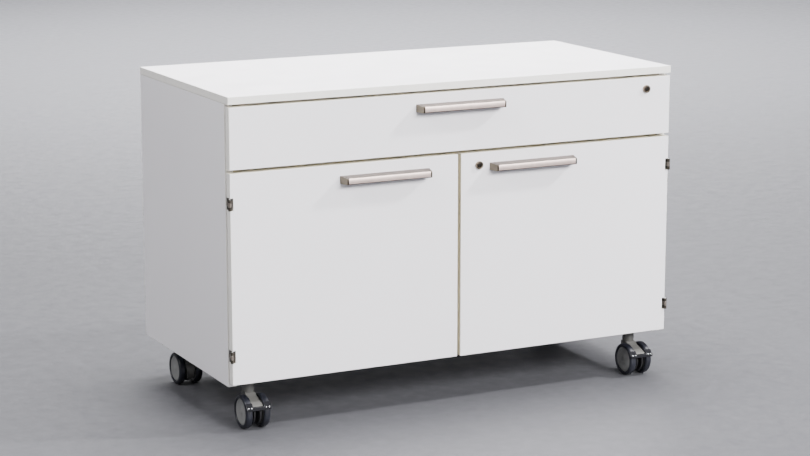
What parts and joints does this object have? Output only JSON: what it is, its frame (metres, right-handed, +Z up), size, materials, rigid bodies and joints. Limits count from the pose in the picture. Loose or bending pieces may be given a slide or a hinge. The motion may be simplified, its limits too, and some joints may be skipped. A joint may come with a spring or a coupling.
{
  "type": "mobile bedside cabinet",
  "caption": "Low wide ward cabinet on castors: full-width drawer over two hinged doors, ledge pull handles, cam locks and braked twin-wheel castors.",
  "frame": {"origin": "on the floor, at the middle of the footprint with the handles", "axes": "+X to the right seen from the front, +Y towards the back, +Z up"},
  "size_m": [1.106, 0.5566, 0.735],
  "materials": {
    "laminate": "off-white melamine laminate, satin",
    "inner_laminate": "pale melamine laminate, matt",
    "handle_steel": "satin",
    "lock_metal": "dull nickel",
    "hinge_metal": "dull nickel",
    "zinc": "zinc plated",
    "axle_steel": "turned",
    "castor_grey": "light grey moulded",
    "pedal_dark": "dark grey moulded",
    "tyre": "dark grey, smooth"
  },
  "bodies": {
    "carcass": {"top_panel": "laminate", "side_panel_left": "laminate", "side_panel_right": "laminate", "back_panel": "inner_laminate", "bottom_panel": "inner_laminate", "drawer_divider": "inner_laminate", "centre_partition": "inner_laminate", "shelf_left": "inner_laminate", "shelf_right": "inner_laminate", "door_lock_strike": "zinc", "hinge_arm_left_lower": "hinge_metal", "hinge_arm_left_upper": "hinge_metal", "runner_rail_left": "zinc", "hinge_arm_right_lower": "hinge_metal", "hinge_arm_right_upper": "hinge_metal", "runner_rail_right": "zinc", "castor_plate_front_left": "zinc", "castor_plate_front_right": "zinc", "castor_plate_rear_left": "zinc", "castor_plate_rear_right": "zinc"},
    "drawer": {"drawer_front": "laminate", "drawer_side_left": "inner_laminate", "drawer_side_right": "inner_laminate", "drawer_back": "inner_laminate", "drawer_bottom": "inner_laminate", "drawer_handle": "handle_steel", "drawer_lock_barrel": "lock_metal", "runner_slide_left": "zinc", "runner_slide_right": "zinc"},
    "drawer_lock": {"drawer_lock_plug": "lock_metal", "drawer_lock_cam": "zinc"},
    "left_door": {"door_left": "laminate", "door_handle_left": "handle_steel", "hinge_leaf_left_lower": "hinge_metal", "hinge_leaf_left_upper": "hinge_metal"},
    "right_door": {"door_right": "laminate", "door_handle_right": "handle_steel", "hinge_leaf_right_lower": "hinge_metal", "hinge_leaf_right_upper": "hinge_metal", "door_lock_barrel": "lock_metal"},
    "door_lock": {"door_lock_plug": "lock_metal", "door_lock_cam": "zinc"},
    "castor_front_left": {"castor_body_front_left": "castor_grey", "castor_axle_front_left": "axle_steel"},
    "wheel_front_left_left": {"castor_wheel_front_left_left": "tyre"},
    "wheel_front_left_right": {"castor_wheel_front_left_right": "tyre"},
    "castor_front_right": {"castor_body_front_right": "castor_grey", "castor_axle_front_right": "axle_steel"},
    "wheel_front_right_left": {"castor_wheel_front_right_left": "tyre"},
    "wheel_front_right_right": {"castor_wheel_front_right_right": "tyre"},
    "castor_rear_left": {"castor_body_rear_left": "castor_grey", "castor_axle_rear_left": "axle_steel"},
    "wheel_rear_left_left": {"castor_wheel_rear_left_left": "tyre"},
    "wheel_rear_left_right": {"castor_wheel_rear_left_right": "tyre"},
    "castor_rear_right": {"castor_body_rear_right": "castor_grey", "castor_axle_rear_right": "axle_steel"},
    "wheel_rear_right_left": {"castor_wheel_rear_right_left": "tyre"},
    "wheel_rear_right_right": {"castor_wheel_rear_right_right": "tyre"},
    "pedal_front_left": {"brake_pedal_front_left": "pedal_dark"},
    "pedal_front_right": {"brake_pedal_front_right": "pedal_dark"}
  },
  "joints": [
    {"name": "drawer_slide", "type": "slide", "parent": "carcass", "child": "drawer", "axis": [0, -1, 0], "range_m": [0, 0.36]},
    {"name": "left_door_hinge", "type": "hinge", "parent": "carcass", "child": "left_door", "pos_m": [-0.5495, -0.25275, 0.339], "axis": [0, 0, -1], "range_deg": [0, 260]},
    {"name": "right_door_hinge", "type": "hinge", "parent": "carcass", "child": "right_door", "pos_m": [0.5495, -0.25275, 0.339], "axis": [0, 0, 1], "range_deg": [0, 260]},
    {"name": "drawer_lock_turn", "type": "hinge", "parent": "drawer", "child": "drawer_lock", "pos_m": [0.484, -0.25175, 0.6857], "axis": [0, 1, 0], "range_deg": [0, 90]},
    {"name": "door_lock_turn", "type": "hinge", "parent": "right_door", "child": "door_lock", "pos_m": [0.0485, -0.25175, 0.5433], "axis": [0, 1, 0], "range_deg": [0, 90]},
    {"name": "castor_front_left_swivel", "type": "hinge", "parent": "carcass", "child": "castor_front_left", "pos_m": [-0.4885, -0.19025, 0.09], "axis": [0, 0, 1], "continuous": true},
    {"name": "wheel_front_left_left_spin", "type": "hinge", "parent": "castor_front_left", "child": "wheel_front_left_left", "pos_m": [-0.5085, -0.21325, 0.0375], "axis": [1, 0, 0], "continuous": true},
    {"name": "wheel_front_left_right_spin", "type": "hinge", "parent": "castor_front_left", "child": "wheel_front_left_right", "pos_m": [-0.4685, -0.21325, 0.0375], "axis": [1, 0, 0], "continuous": true},
    {"name": "pedal_front_left_press", "type": "hinge", "parent": "castor_front_left", "child": "pedal_front_left", "pos_m": [-0.4885, -0.21325, 0.0375], "axis": [1, 0, 0], "range_deg": [0, 14]},
    {"name": "castor_front_right_swivel", "type": "hinge", "parent": "carcass", "child": "castor_front_right", "pos_m": [0.4885, -0.19025, 0.09], "axis": [0, 0, 1], "continuous": true},
    {"name": "wheel_front_right_left_spin", "type": "hinge", "parent": "castor_front_right", "child": "wheel_front_right_left", "pos_m": [0.4685, -0.21325, 0.0375], "axis": [1, 0, 0], "continuous": true},
    {"name": "wheel_front_right_right_spin", "type": "hinge", "parent": "castor_front_right", "child": "wheel_front_right_right", "pos_m": [0.5085, -0.21325, 0.0375], "axis": [1, 0, 0], "continuous": true},
    {"name": "pedal_front_right_press", "type": "hinge", "parent": "castor_front_right", "child": "pedal_front_right", "pos_m": [0.4885, -0.21325, 0.0375], "axis": [1, 0, 0], "range_deg": [0, 14]},
    {"name": "castor_rear_left_swivel", "type": "hinge", "parent": "carcass", "child": "castor_rear_left", "pos_m": [-0.4885, 0.20825, 0.09], "axis": [0, 0, 1], "continuous": true},
    {"name": "wheel_rear_left_left_spin", "type": "hinge", "parent": "castor_rear_left", "child": "wheel_rear_left_left", "pos_m": [-0.5085, 0.18525, 0.0375], "axis": [1, 0, 0], "continuous": true},
    {"name": "wheel_rear_left_right_spin", "type": "hinge", "parent": "castor_rear_left", "child": "wheel_rear_left_right", "pos_m": [-0.4685, 0.18525, 0.0375], "axis": [1, 0, 0], "continuous": true},
    {"name": "castor_rear_right_swivel", "type": "hinge", "parent": "carcass", "child": "castor_rear_right", "pos_m": [0.4885, 0.20825, 0.09], "axis": [0, 0, 1], "continuous": true},
    {"name": "wheel_rear_right_left_spin", "type": "hinge", "parent": "castor_rear_right", "child": "wheel_rear_right_left", "pos_m": [0.4685, 0.18525, 0.0375], "axis": [1, 0, 0], "continuous": true},
    {"name": "wheel_rear_right_right_spin", "type": "hinge", "parent": "castor_rear_right", "child": "wheel_rear_right_right", "pos_m": [0.5085, 0.18525, 0.0375], "axis": [1, 0, 0], "continuous": true}
  ]
}
